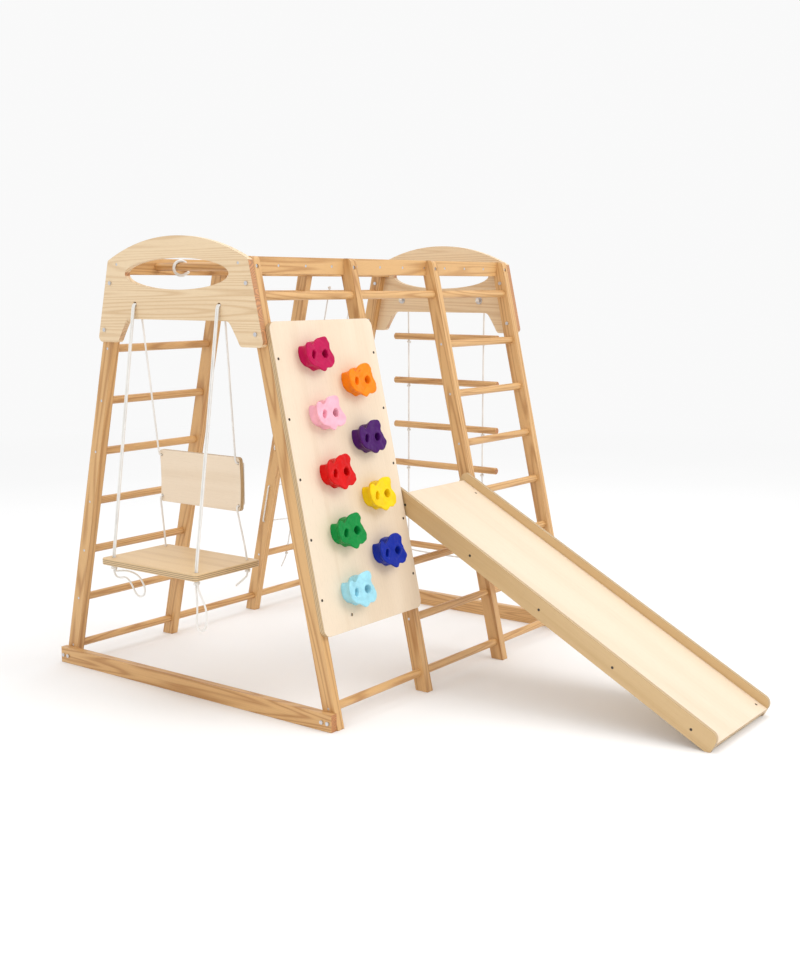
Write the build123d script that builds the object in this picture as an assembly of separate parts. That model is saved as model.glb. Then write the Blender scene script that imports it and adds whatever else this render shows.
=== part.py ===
from build123d import *
import os
from math import atan2, cos, degrees, hypot, radians, sin, tan

# Indoor wooden climbing frame with a climbing board, slide, swing, rope ladder and climbing net.
# +X runs along the frame from the swing end to the rope ladder end, -Y is the side of the
# climbing board and slide, +Z is up, and the origin is at the middle of the underside of the
# near base bar. All sizes are in millimetres.

# ---------------------------------------------------------------- frame sizes
frame_height = 1320
foot_half_depth = 588
top_half_depth = 290
post_width = 28
post_depth = 45
post_pitch = 433
post_count = 4
post_top_round = 14

rail_height = 50
rail_thickness = 28
rail_inset = 23

base_bar_thickness = 25
base_bar_height = 51
base_bar_setback = 4
base_bolt_spacing = 22
base_bolt_height = 25

dowel_diameter = 25
level_count = 8
level_1_height = 57
top_level_drop = 111.5

monkey_bar_count = 10
monkey_bar_near_margin = 135
monkey_bar_far_margin = 112
rail_bolt_drop = 28
rail_screw_drop = 19

# ---------------------------------------------------------------- end panels
panel_thickness = 19
panel_rise = 62
panel_shoulder_rise = -8
panel_shoulder_round = 8
panel_foot_drop = 254
panel_foot_width = 82
panel_lower_edge_drop = 182
panel_lower_edge_inset = 65
panel_corner_round = 16
hand_hole_inset = 74
hand_hole_top_drop = 2
hand_hole_height = 92
panel_bolt_drops = (75, 217)
rope_hole_half_spacing = 176
rope_hole_drop = 137
rope_hole_radius = 6.8

# ---------------------------------------------------------------- climbing board and holds
board_thickness = 16
board_length = 900
board_start = 264
board_corner_round = 24
board_screw_margin = 106
hold_columns = (-85, 85)
hold_count = 9
hold_width = 118
hold_height = 100
hold_depth = 42
hold_foot_share = 0.86
hold_face_share = 0.95
hold_rim_share = 0.78
hold_pocket_spacing = 50
hold_pocket_shift = (-6.5, -1)
hold_pocket_radius = 12
hold_slot_size = (25, 15)
hold_pocket_depth = 24
hold_slot_depth = 16
spare_nut_offset = (-101, 42)

# ---------------------------------------------------------------- slide
slide_width = 388
slide_offset = -4
slide_angle = 28.3
slide_deck_rise = 48.1
slide_foot_height = 24
slide_wall_thickness = 12
slide_wall_rise = 27
slide_wall_drop = 35
slide_wall_end_round = 24
slide_deck_thickness = 15
slide_hook_drop = 56
slide_hook_thickness = 24
slide_batten = (30, 18)
slide_rung_level = 4
slide_rung_clearance = 0.5
slide_screw_first = 45
slide_screw_last = 75
slide_screw_count = 5

# ---------------------------------------------------------------- swing
seat_length = 271
seat_width = 405
seat_thickness = 20
seat_corner_round = 14
seat_top_height = 425
seat_center = -15.5
seat_hole_half_length = 105.6
backrest_width = 340
backrest_height = 162
backrest_thickness = 14
backrest_bow_radius = 700
backrest_bottom = 574
backrest_front = 69.5
backrest_hole_half_spacing = 163
backrest_hole_inset = 17
rope_diameter = 6
strand_gap = 0.4
swing_strand_drop = 8
knot_radius = 10
knot_tilt = (20, 25, 40)

# ---------------------------------------------------------------- rope ladder and net
ladder_rung_length = 472
ladder_top_rung_drop = 140
ladder_bottom_rung_height = 228
ladder_rung_shifts = (0, -7, -16, -4, -2, 0)
ladder_rope_half_spacing = 172
ladder_standoff = 20
ladder_washer_thickness = 2
ladder_washer_radius = 14
net_bottom_gap = 131.5
net_top_gap = 155.5
net_row_count = 6
net_column_count = 2
net_rope_diameter = 5.5
net_sag = 8

# ---------------------------------------------------------------- hook and fasteners
hook_ring_clearance = 2.76
hook_wire_radius = 4.5
hook_turn = 32
hook_place = 135
hook_gap = 0.5
screw_head_radius = 4
screw_shank_radius = 2
screw_head_length = 2.6
screw_bite = 24
fit_gap = 0.2
bolt_head_radius = 6
bolt_shank_radius = 3
bolt_head_length = 4

# ---------------------------------------------------------------- worked-out places
frame_start = base_bar_thickness / 2
frame_length = (post_count - 1) * post_pitch + post_width
frame_end = frame_start + frame_length
dowel_radius = dowel_diameter / 2
top_level_height = frame_height - top_level_drop
level_pitch = (top_level_height - level_1_height) / (level_count - 1)
monkey_bar_span = frame_length - monkey_bar_near_margin - monkey_bar_far_margin
monkey_bar_pitch = monkey_bar_span / (monkey_bar_count - 1)
rope_hole_height = frame_height - rope_hole_drop
lean_run = foot_half_depth - top_half_depth
lean_slope = lean_run / frame_height
lean_length = hypot(lean_run, frame_height)
rope_radius = rope_diameter / 2
FRONT = -1
REAR = 1

PARTS = {}


def keep(name, *solids):
    """Store a named part made of one or more separate solids."""
    PARTS[name] = list(solids)


def outer_y(side, z):
    """Y of a post's outer face at height z, on the front or rear side."""
    return side * (foot_half_depth - lean_slope * z)


def middle_y(side, z):
    """Y of a post's middle line at height z."""
    return outer_y(side, z) - side * post_depth / 2


def post_x(index):
    """X of a post's near face."""
    return frame_start + index * post_pitch


def level_z(level):
    """Height of a rung level, counted from 1 at the floor."""
    return level_1_height + (level - 1) * level_pitch


def block(x0, x1, y0, y1, z0, z1):
    """A box between two corners."""
    center = Pos((x0 + x1) / 2, (y0 + y1) / 2, (z0 + z1) / 2)
    return center * Box(abs(x1 - x0), abs(y1 - y0), abs(z1 - z0))


def rod(start, end, radius):
    """A round bar from one point to another."""
    a = Vector(*start)
    b = Vector(*end)
    place = Plane(origin=a, z_dir=b - a)
    align = (Align.CENTER, Align.CENTER, Align.MIN)
    return place * Cylinder(radius, (b - a).length, align=align)


def side_prism(outline, x0, thickness):
    """A closed outline in (y, z), extruded along +X from x0."""
    return extrude(Plane.YZ.offset(x0) * make_face(outline), thickness)


def screw(head, direction, length):
    """A countersunk screw with its head just under the surface at the point head."""
    way = Vector(*direction).normalized()
    start = Vector(*head) + way * fit_gap
    neck = start + way * screw_head_length
    tip = start + way * length
    return rod(start, neck, screw_head_radius) + rod(neck, tip, screw_shank_radius)


def screw_hole(head, direction, length):
    """The recess and pilot hole for a screw of that length."""
    way = Vector(*direction).normalized()
    start = Vector(*head) - way
    neck = Vector(*head) + way * (screw_head_length + 2 * fit_gap)
    tip = Vector(*head) + way * (length + 2 * fit_gap)
    recess = rod(start, neck, screw_head_radius + fit_gap)
    return recess + rod(neck, tip, screw_shank_radius + fit_gap)


def through_bolt(start, end):
    """A bolt with a round head outside start and a round sleeve nut outside end."""
    a = Vector(*start)
    b = Vector(*end)
    way = (b - a).normalized()
    head = rod(a - way * bolt_head_length, a, bolt_head_radius)
    nut = rod(b, b + way * bolt_head_length, bolt_head_radius)
    return head + rod(a, b, bolt_shank_radius) + nut


def cut_all(solid, cutters):
    """Cut every tool in a list out of a solid."""
    for cutter in cutters:
        solid = solid - cutter
    return solid


def rope_radii(points, tight):
    """The bend radius at each corner of a rope's route."""
    radii = []
    for index in range(1, len(points) - 1):
        back = points[index] - points[index - 1]
        ahead = points[index + 1] - points[index]
        half_turn = radians(back.get_angle(ahead)) / 2
        radius = 0.45 * min(back.length, ahead.length) / tan(half_turn)
        radii.append(min(radius, tight.get(index, radius)))
    return radii


def rope(name, route, diameter, tight={}):
    """A round rope along straight runs joined by arcs. tight gives the radius at hard edges."""
    points = [Vector(*point) for point in route]
    radii = rope_radii(points, tight)
    path = FilletPolyline(*points, radius=radii)
    section = Plane(origin=points[0], z_dir=points[1] - points[0]) * Circle(diameter / 2)
    tube = sweep(section, path=path)
    expected = path.length * 3.14159 * diameter**2 / 4
    print(name, "length", round(path.length), "tightest", round(min(radii), 1), "volume share",
          round(tube.volume / expected, 4))
    return tube


# ================================================================ fasteners that cut the wood
wood_screws = []
post_cuts = {(side, index): [] for side in (FRONT, REAR) for index in range(post_count)}
rung_cuts = {}
panel_cuts = {"near": [], "far": []}

# Which rung levels each bay has, on the front and on the rear side.
bay_levels = {
    (FRONT, 0): (1, 8),
    (FRONT, 1): (1, 2, 3, 4, 8),
    (FRONT, 2): tuple(range(1, level_count + 1)),
    (REAR, 0): tuple(range(1, level_count + 1)),
    (REAR, 1): (1, 8),
    (REAR, 2): (1, 2, 8),
}
for bay_key, levels in bay_levels.items():
    for bay_level in levels:
        rung_cuts[bay_key + (bay_level,)] = []


def add_rung_fixings():
    """A screw through each post into each rung end, or a double-ended one between two rungs."""
    for side in (FRONT, REAR):
        for index in range(post_count):
            near_face = post_x(index)
            far_face = near_face + post_width
            for level in range(1, level_count + 1):
                z = level_z(level)
                y = middle_y(side, z)
                left = rung_cuts.get((side, index - 1, level))
                right = rung_cuts.get((side, index, level))
                if left is None and right is None:
                    continue
                length = post_width + screw_bite
                if left is not None and right is not None:
                    start = (near_face - screw_bite, y, z)
                    end = (far_face + screw_bite, y, z)
                    wood_screws.append(rod(start, end, screw_shank_radius))
                    hole = rod((start[0] - 1, y, z), (end[0] + 1, y, z),
                               screw_shank_radius + fit_gap)
                    post_cuts[side, index].append(hole)
                    left.append(hole)
                    right.append(hole)
                    continue
                if right is not None:
                    head = (near_face, y, z)
                    way = (1, 0, 0)
                    rung = right
                else:
                    head = (far_face, y, z)
                    way = (-1, 0, 0)
                    rung = left
                wood_screws.append(screw(head, way, length))
                hole = screw_hole(head, way, length)
                post_cuts[side, index].append(hole)
                rung.append(hole)


add_rung_fixings()

# ================================================================ top rails and monkey bars
rail_front_y = top_half_depth - rail_inset
rail_middle_y = rail_front_y - rail_thickness / 2
rail_back_y = rail_front_y - rail_thickness
rail_bottom = frame_height - rail_height
rail_middle_z = frame_height - rail_height / 2
rail_cuts = {FRONT: [], REAR: []}
rail_bolts = []


def bar_x(index):
    """X of a monkey bar's axis."""
    return frame_start + monkey_bar_near_margin + index * monkey_bar_pitch


def monkey_bar(index):
    """A round bar between the two rails, with a screw from each rail into its end."""
    x = bar_x(index)
    bar = rod((x, -rail_back_y, rail_middle_z), (x, rail_back_y, rail_middle_z), dowel_radius)
    length = rail_thickness + screw_bite
    for side in (FRONT, REAR):
        head = (x, side * rail_front_y, rail_middle_z)
        way = (0, -side, 0)
        wood_screws.append(screw(head, way, length))
        hole = screw_hole(head, way, length)
        rail_cuts[side].append(hole)
        bar = bar - hole
    return bar


def add_rail_bolts():
    """A bolt through each post top into the rail, its head sunk in the post's outer face."""
    for side in (FRONT, REAR):
        for index in range(post_count):
            x = post_x(index) + post_width / 2
            z = frame_height - rail_bolt_drop
            face = outer_y(side, z)
            sink = side * (bolt_head_length + 3)
            start = (x, face - sink, z)
            end = (x, side * rail_back_y, z)
            rail_bolts.append(through_bolt(start, end))
            shank = rod((x, face, z), (x, side * (rail_back_y - 1), z),
                        bolt_shank_radius + fit_gap)
            recess = rod((x, face + side * 10, z), start, bolt_head_radius + fit_gap)
            post_cuts[side, index].append(shank + recess)
            rail_cuts[side].append(shank)


keep("monkey_bars", *[monkey_bar(index) for index in range(monkey_bar_count)])
add_rail_bolts()

# ================================================================ end panels
panel_bolts = []
near_panel_x = frame_start - panel_thickness
panel_x = {"near": near_panel_x, "far": frame_end}
panel_shoulder = frame_height + panel_shoulder_rise
panel_foot = frame_height - panel_foot_drop
panel_lower_edge = frame_height - panel_lower_edge_drop
hand_hole_half = top_half_depth - hand_hole_inset


def panel_outline():
    """The arched board: sloping sides, two feet and an S-curve up to the lower edge."""
    shoulder = (outer_y(REAR, panel_shoulder), panel_shoulder)
    foot_outer = (outer_y(REAR, panel_foot), panel_foot)
    foot_inner = (foot_outer[0] - panel_foot_width, panel_foot)
    lower = (foot_inner[0] - panel_lower_edge_inset, panel_lower_edge)
    rise = panel_lower_edge - panel_foot
    low_bend = (foot_inner[0] - 0.23 * panel_lower_edge_inset, panel_foot + 0.16 * rise)
    high_bend = (foot_inner[0] - 0.65 * panel_lower_edge_inset, panel_foot + 0.78 * rise)
    rear_side = [Line(shoulder, foot_outer), Line(foot_outer, foot_inner),
                 Spline(foot_inner, low_bend, high_bend, lower, tangents=[(-1, 0), (-1, 0)])]
    front_side = [mirror(edge, about=Plane.YZ) for edge in rear_side]
    arch = ThreePointArc((-shoulder[0], shoulder[1]), (0, frame_height + panel_rise), shoulder)
    bottom = Line(lower, (-lower[0], lower[1]))
    return Curve() + [arch, bottom] + rear_side + front_side


def hand_hole(x0):
    """The long oval opening under the arch, cut from x0 through a panel's thickness."""
    middle_z = frame_height - hand_hole_top_drop - hand_hole_height / 2
    oval = Plane.YZ.offset(x0 - 1) * Pos(0, middle_z) * Ellipse(hand_hole_half, hand_hole_height / 2)
    return extrude(oval, panel_thickness + 2)


def end_panel(end):
    """One arched end panel with its hand hole, rope holes and fixing holes."""
    x0 = panel_x[end]
    x1 = x0 + panel_thickness
    panel = side_prism(panel_outline(), x0, panel_thickness)
    corners = panel.edges().filter_by(Axis.X)
    outer_corners = [edge for edge in corners
                     if abs(abs(edge.center().Y) - outer_y(REAR, edge.center().Z)) < 1]
    by_height = sorted(outer_corners, key=lambda edge: edge.center().Z)
    panel = fillet(by_height[:2], panel_corner_round)
    corners = panel.edges().filter_by(Axis.X)
    shoulders = corners.sort_by(Axis.Z)[-2:]
    panel = fillet(shoulders, panel_shoulder_round)
    panel = panel - hand_hole(x0)
    for side in (FRONT, REAR):
        y = side * rope_hole_half_spacing
        panel = panel - rod((x0 - 1, y, rope_hole_height), (x1 + 1, y, rope_hole_height),
                            rope_hole_radius)
    return cut_all(panel, panel_cuts[end])


def add_panel_fixings():
    """Bolts through each panel and end post, and a small screw into each rail end."""
    for end in ("near", "far"):
        index = 0 if end == "near" else post_count - 1
        outside = near_panel_x if end == "near" else frame_end + panel_thickness
        inside = post_x(index) + (post_width if end == "near" else 0)
        way = 1 if end == "near" else -1
        for side in (FRONT, REAR):
            for drop in panel_bolt_drops:
                z = frame_height - drop
                y = middle_y(side, z)
                panel_bolts.append(through_bolt((outside, y, z), (inside, y, z)))
                hole = rod((outside - way, y, z), (inside + way, y, z),
                           bolt_shank_radius + fit_gap)
                panel_cuts[end].append(hole)
                post_cuts[side, index].append(hole)
            head = (outside, side * rail_middle_y, frame_height - rail_screw_drop)
            length = panel_thickness + screw_bite
            wood_screws.append(screw(head, (way, 0, 0), length))
            hole = screw_hole(head, (way, 0, 0), length)
            panel_cuts[end].append(hole)
            rail_cuts[side].append(hole)


add_panel_fixings()
keep("near_end_panel", end_panel("near"))
keep("far_end_panel", end_panel("far"))

# ================================================================ base bars
base_bar_bolts = []
base_bar_cuts = {"near": [], "far": []}


def base_bar(end):
    """A flat bar along Y on the outer face of the end posts, with two bolts at each end."""
    index = 0 if end == "near" else post_count - 1
    x0 = frame_start - base_bar_thickness if end == "near" else frame_end
    x1 = x0 + base_bar_thickness
    half = foot_half_depth - base_bar_setback
    bar = block(x0, x1, -half, half, 0, base_bar_height)
    bar = fillet(bar.edges().filter_by(Axis.Z), 2)
    outside = x0 if end == "near" else x1
    inside = post_x(index) + (post_width if end == "near" else 0)
    way = 1 if end == "near" else -1
    for side in (FRONT, REAR):
        center = middle_y(side, base_bolt_height)
        for shift in (-0.5, 0.5):
            y = center + shift * base_bolt_spacing
            z = base_bolt_height
            base_bar_bolts.append(through_bolt((outside, y, z), (inside, y, z)))
            hole = rod((outside - way, y, z), (inside + way, y, z), bolt_shank_radius + fit_gap)
            post_cuts[side, index].append(hole)
            bar = bar - hole
    return bar


keep("near_base_bar", base_bar("near"))
keep("far_base_bar", base_bar("far"))

# ================================================================ climbing board
board_width = post_pitch + post_width
board_center_x = frame_start + board_width / 2
board_up = Vector(0, lean_run, frame_height).normalized()
board_out = Vector(0, -frame_height, lean_run).normalized()
board_plane = Plane(origin=(board_center_x, -foot_half_depth, 0), x_dir=(1, 0, 0),
                    z_dir=board_out)
board_screw_pitch = (board_length - 2 * board_screw_margin) / 4
hold_pitch = board_screw_pitch / 2
board_screws = []
hold_bolts = []
hold_tee_nuts = []
board_cuts = []


def on_board(across, along, out):
    """A point in the frame from places across, up and out of the posts' front plane."""
    return board_plane.from_local_coords(Vector(across, along, out))


def add_board_screws():
    """Five screws down each side of the board, into the two posts behind it."""
    for across in (-post_pitch / 2, post_pitch / 2):
        index = 0 if across < 0 else 1
        for row in range(5):
            along = board_start + board_screw_margin + row * board_screw_pitch
            head = on_board(across, along, board_thickness)
            way = -board_out
            length = board_thickness + screw_bite
            board_screws.append(screw(head, way, length))
            hole = screw_hole(head, way, length)
            board_cuts.append(hole)
            post_cuts[FRONT, index].append(hole)


def hold_outline(share, out):
    """The wavy outline of a hold, at a share of its full size, out from the board."""
    w = hold_width * share / 2
    h = hold_height * share / 2
    shape = [(0.98, -0.32), (0.9, -0.65), (0.6, -0.83), (0.33, -0.84), (0.12, -0.98),
             (-0.1, -0.94), (-0.34, -0.76), (-0.66, -0.62), (-0.92, -0.3), (-0.99, 0.1),
             (-0.98, 0.42), (-0.9, 0.64), (-0.74, 0.7), (-0.54, 0.58), (-0.34, 0.66),
             (-0.08, 0.92), (0.26, 0.99), (0.6, 0.96), (0.77, 0.7), (0.74, 0.4), (0.84, 0.05)]
    points = [(w * x, h * y) for x, y in shape]
    return Plane((0, 0, out)) * make_face(Spline(*points, periodic=True))


def hold_shape():
    """One hold standing on its own flat back, with a bolt pocket and a slot pocket."""
    body = loft([hold_outline(hold_foot_share, 0), hold_outline(1.0, hold_depth * hold_rim_share),
                 hold_outline(hold_face_share, hold_depth)])
    middle, y = hold_pocket_shift
    bolt_x = middle + hold_pocket_spacing / 2
    slot_x = middle - hold_pocket_spacing / 2
    bolt_pocket = rod((bolt_x, y, hold_depth - hold_pocket_depth), (bolt_x, y, hold_depth + 10),
                      hold_pocket_radius)
    bolt_hole = rod((bolt_x, y, -1), (bolt_x, y, hold_depth), bolt_shank_radius + 1)
    slot = extrude(Plane((slot_x, y, hold_depth - hold_slot_depth))
                   * SlotOverall(*hold_slot_size, rotation=65), hold_slot_depth + 10)
    return body - bolt_pocket - bolt_hole - slot


hold_names = ("cyan", "blue", "green", "yellow", "red", "purple", "pink", "orange", "magenta")


def add_holds():
    """Nine holds in two staggered columns, each with a bolt and a tee nut behind the board."""
    shape = hold_shape()
    for row in range(hold_count):
        column = hold_columns[row % 2]
        along = board_start + board_screw_margin + row * hold_pitch
        place = board_plane * Pos(column - hold_pocket_shift[0], along - hold_pocket_shift[1],
                                  board_thickness)
        keep(hold_names[row] + "_hold", place * shape)
        across = column + hold_pocket_spacing / 2
        seat = board_thickness + hold_depth - hold_pocket_depth
        head_start = on_board(across, along, seat)
        head_end = on_board(across, along, seat + bolt_head_length + 2)
        tip = on_board(across, along, 1)
        head = rod(head_start, head_end, bolt_head_radius)
        hold_bolts.append(head + rod(tip, head_start, bolt_shank_radius))
        add_tee_nut(across, along)
    low = board_start + spare_nut_offset[1]
    add_tee_nut(spare_nut_offset[0], low)


def add_tee_nut(across, along):
    """A flanged nut pressed into the back of the board."""
    barrel_radius = bolt_shank_radius + 1.5
    barrel = rod(on_board(across, along, 0), on_board(across, along, board_thickness - 4),
                 barrel_radius)
    flange = rod(on_board(across, along, -1.5), on_board(across, along, 0), barrel_radius + 5)
    bore = rod(on_board(across, along, -3), on_board(across, along, board_thickness),
               bolt_shank_radius + fit_gap)
    hold_tee_nuts.append(barrel + flange - bore)
    board_cuts.append(rod(on_board(across, along, -1),
                          on_board(across, along, board_thickness + 1), barrel_radius + fit_gap))


add_board_screws()
add_holds()
board_face = Pos(0, board_start + board_length / 2) * RectangleRounded(
    board_width, board_length, board_corner_round)
keep("climbing_board", cut_all(extrude(board_plane * board_face, board_thickness), board_cuts))
keep("board_screws", *board_screws)
keep("hold_bolts", *hold_bolts)
keep("hold_tee_nuts", *hold_tee_nuts)

# ================================================================ slide
slide_rung_z = level_z(slide_rung_level)
slide_rung_y = middle_y(FRONT, slide_rung_z)
slide_center_x = post_x(1) + (post_pitch + post_width) / 2 + slide_offset
slide_left = slide_center_x - slide_width / 2
slide_right = slide_center_x + slide_width / 2
slope = radians(slide_angle)
slide_top_height = slide_rung_z + slide_deck_rise
slide_length = (slide_top_height - slide_foot_height) / sin(slope)
slide_screw_pitch = (slide_length - slide_screw_first - slide_screw_last) / (slide_screw_count - 1)
slide_screws = []
slide_cuts = {"near": [], "far": [], "deck": [], "battens": []}


def on_slide(down, out):
    """(y, z) from a distance down the slope and out from the top face of the deck."""
    y = slide_rung_y - down * cos(slope) - out * sin(slope)
    z = slide_top_height - down * sin(slope) + out * cos(slope)
    return (y, z)


def slide_place(point):
    """Distances down and out of a point (y, z), the reverse of on_slide."""
    dy = slide_rung_y - point[0]
    dz = slide_top_height - point[1]
    return (dy * cos(slope) + dz * sin(slope), dy * sin(slope) - dz * cos(slope))


def slide_wall(x0):
    """A side wall with a rounded foot end and a hook over the rung."""
    rung_down, rung_out = slide_place((slide_rung_y, slide_rung_z))
    slot = dowel_radius + slide_rung_clearance
    hook_start = rung_down - slot - slide_hook_thickness
    low = -slide_wall_drop
    outline = [on_slide(hook_start, slide_wall_rise), on_slide(slide_length, slide_wall_rise),
               on_slide(slide_length, low), on_slide(rung_down + slot, low),
               on_slide(rung_down + slot, rung_out), on_slide(rung_down - slot, rung_out),
               on_slide(rung_down - slot, -slide_hook_drop),
               on_slide(hook_start, -slide_hook_drop)]
    wall = side_prism(Polyline(*outline, close=True), x0, slide_wall_thickness)
    slot_center = on_slide(rung_down, rung_out)
    wall = wall - rod((x0 - 1, *slot_center), (x0 + slide_wall_thickness + 1, *slot_center), slot)
    corners = wall.edges().filter_by(Axis.X)
    foot = corners.sort_by(Axis.Y)[0:2].sort_by(Axis.Z)[-1]
    wall = fillet(foot, slide_wall_end_round)
    corners = wall.edges().filter_by(Axis.X)
    crown = corners.sort_by(Axis.Z)[-1]
    wall = fillet(crown, slide_wall_end_round * 0.7)
    floor = block(x0 - 5, x0 + 30, -3000, 0, -200, 0)
    return wall - floor


def slide_box(x0, x1, down0, down1, out0, out1):
    """A board lying along the slope."""
    corners = [on_slide(down0, out0), on_slide(down1, out0), on_slide(down1, out1),
               on_slide(down0, out1)]
    return side_prism(Polyline(*corners, close=True), x0, x1 - x0)


def add_slide_screws():
    """Screws through both walls into the deck edge, and through the deck into the battens."""
    out = -slide_deck_thickness / 2
    for number in range(slide_screw_count):
        y, z = on_slide(slide_screw_first + number * slide_screw_pitch, out)
        length = slide_wall_thickness + screw_bite
        for wall, x, way in (("near", slide_left, (1, 0, 0)), ("far", slide_right, (-1, 0, 0))):
            slide_screws.append(screw((x, y, z), way, length))
            hole = screw_hole((x, y, z), way, length)
            slide_cuts[wall].append(hole)
            slide_cuts["deck"].append(hole)
    for down in batten_places:
        y, z = on_slide(down + slide_batten[0] / 2, 0)
        inner = slide_wall_thickness + 22
        for x in (slide_left + inner, slide_right - inner):
            way = (0, sin(slope), -cos(slope))
            length = slide_deck_thickness + slide_batten[1] - 4
            slide_screws.append(screw((x, y, z), way, length))
            hole = screw_hole((x, y, z), way, length)
            slide_cuts["deck"].append(hole)
            slide_cuts["battens"].append(hole)


deck_left = slide_left + slide_wall_thickness
deck_right = slide_right - slide_wall_thickness
batten_places = (slide_screw_first + 12, slide_length - slide_batten[0] - 14)
add_slide_screws()
deck = slide_box(deck_left, deck_right, 0, slide_length, -slide_deck_thickness, 0)
keep("slide_deck", cut_all(deck, slide_cuts["deck"]))
keep("slide_near_wall", cut_all(slide_wall(slide_left), slide_cuts["near"]))
keep("slide_far_wall", cut_all(slide_wall(slide_right - slide_wall_thickness),
                               slide_cuts["far"]))
for batten_name, batten_down in zip(("slide_upper_batten", "slide_lower_batten"),
                                    batten_places):
    batten = slide_box(deck_left, deck_right, batten_down, batten_down + slide_batten[0],
                       -slide_deck_thickness - slide_batten[1], -slide_deck_thickness)
    keep(batten_name, cut_all(batten, slide_cuts["battens"]))
keep("slide_screws", *slide_screws)

# ================================================================ swing
seat_hole_y = rope_hole_half_spacing
seat_bottom = seat_top_height - seat_thickness
seat_front_hole_x = seat_center - seat_hole_half_length
seat_rear_hole_x = seat_center + seat_hole_half_length
strand = rope_radius + strand_gap / 2
swing_knot_drop = 2 * knot_radius + 4
rope_end_reach = 16


def swing_seat():
    """A flat board with rounded corners and four rope holes."""
    board = extrude(Pos(seat_center, 0, seat_bottom)
                    * RectangleRounded(seat_length, seat_width, seat_corner_round),
                    seat_thickness)
    board = fillet(board.faces().sort_by(Axis.Z)[-1].edges(), 3)
    board = fillet(board.faces().sort_by(Axis.Z)[0].edges(), 3)
    for side in (FRONT, REAR):
        for x, radius in ((seat_front_hole_x, rope_hole_radius),
                          (seat_rear_hole_x, rope_radius + 1.5)):
            y = side * seat_hole_y
            board = board - rod((x, y, seat_bottom - 1), (x, y, seat_top_height + 1), radius)
    return board


def swing_backrest():
    """A gently bowed board, hollow towards the sitter, with four rope holes."""
    middle = backrest_bottom + backrest_height / 2
    half = backrest_height / 2
    bow = backrest_bow_radius - (backrest_bow_radius**2 - half**2) ** 0.5
    top = backrest_bottom + backrest_height
    x0 = backrest_front
    x1 = x0 + backrest_thickness
    front = ThreePointArc((x0, backrest_bottom), (x0 + bow, middle), (x0, top))
    rear = ThreePointArc((x1, top), (x1 + bow, middle), (x1, backrest_bottom))
    outline = Curve() + [front, Line((x0, top), (x1, top)), rear,
                         Line((x1, backrest_bottom), (x0, backrest_bottom))]
    face = Plane.XZ.offset(-backrest_width / 2) * make_face(outline)
    board = extrude(face, backrest_width)
    board = fillet(board.edges().filter_by(Axis.X), 10)
    for side in (FRONT, REAR):
        for z in backrest_hole_heights:
            y = side * backrest_hole_half_spacing
            board = board - rod((x0 - 5, y, z), (x1 + 15, y, z), rope_radius + 1.5)
    return board


backrest_hole_heights = (backrest_bottom + backrest_hole_inset,
                         backrest_bottom + backrest_height - backrest_hole_inset)


def swing_rope_route(side, loop, tail):
    """One rope: stopper knot, out through the panel, down and round a loop under the seat,
    up again, back through the panel, down inside to the backrest, the seat and a tail."""
    hole_y = side * rope_hole_half_spacing
    ya = hole_y - strand
    yb = hole_y + strand
    z = rope_hole_height
    out_x = near_panel_x - rope_radius - 2.5
    in_x = frame_start + rope_radius + 2.5
    front_x = seat_front_hole_x
    rear_x = seat_rear_hole_x
    back_y = side * backrest_hole_half_spacing
    low, high = backrest_hole_heights
    before = backrest_front - rope_radius - 5
    behind = backrest_front + backrest_thickness + rope_radius + 7
    under = seat_bottom - swing_knot_drop
    return [
        (frame_start + rope_end_reach, ya, z),
        (out_x, ya, z),
        (front_x, ya, seat_top_height + 8),
        (front_x, ya, under),
        *loop,
        (front_x, yb, under - swing_strand_drop),
        (front_x, yb, seat_top_height + 8),
        (out_x, yb, z),
        (in_x, yb, z),
        (before, back_y, high),
        (behind, back_y, high),
        (behind, back_y, low),
        (before, back_y, low),
        (rear_x, hole_y, seat_top_height + 8),
        (rear_x, hole_y, under),
        *tail,
    ]


def swing_rope(name, side, loop, tail):
    """The rope of one side of the swing, tight round the panel and backrest edges."""
    route = swing_rope_route(side, loop, tail)
    edge = rope_diameter
    first = len(loop)
    tight = {1: edge, first + 6: edge, first + 7: edge}
    for corner in range(first + 8, first + 12):
        tight[corner] = edge
    swing_ropes[side] = rope(name, route, rope_diameter, tight)
    keep(name, swing_ropes[side])


# Loops of spare rope under the front holes and tails under the rear holes.
fx = seat_front_hole_x
rx = seat_rear_hole_x
swing_ropes = {}
swing_rope("swing_rope_front_side", FRONT,
           [(fx, -193, 356), (fx, -213, 322), (fx, -215, 284), (fx, -203, 256),
            (fx, -182, 254), (fx, -171, 276), (fx, -177, 312), (fx, -175, 352)],
           [(rx + 1, -168, 372), (rx + 2, -148, 356), (rx + 2, -126, 339)])
swing_rope("swing_rope_rear_side", REAR,
           [(fx, 156, 386), (fx, 112, 391), (fx, 70, 384), (fx, 44, 356), (fx, 43, 330),
            (fx, 64, 316), (fx, 86, 326), (fx, 98, 350), (fx, 124, 372), (fx, 158, 362)],
           [(rx + 3, 184, 370), (rx + 4, 188, 348), (rx + 4, 184, 330)])
keep("swing_seat", swing_seat())
keep("swing_backrest", swing_backrest())


def knot(center, stretch, *ropes, tilt=(0, 0, 0)):
    """A lump where a rope is knotted, with the rope itself left out of it."""
    lump = Pos(*center) * Rot(*tilt) * scale(Sphere(knot_radius), by=stretch)
    return cut_all(lump, ropes)


def upright_rope(x, y):
    """The straight stretch of rope inside a knot under the seat."""
    return rod((x, y, seat_bottom - swing_knot_drop), (x, y, seat_top_height), rope_radius)


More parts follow.
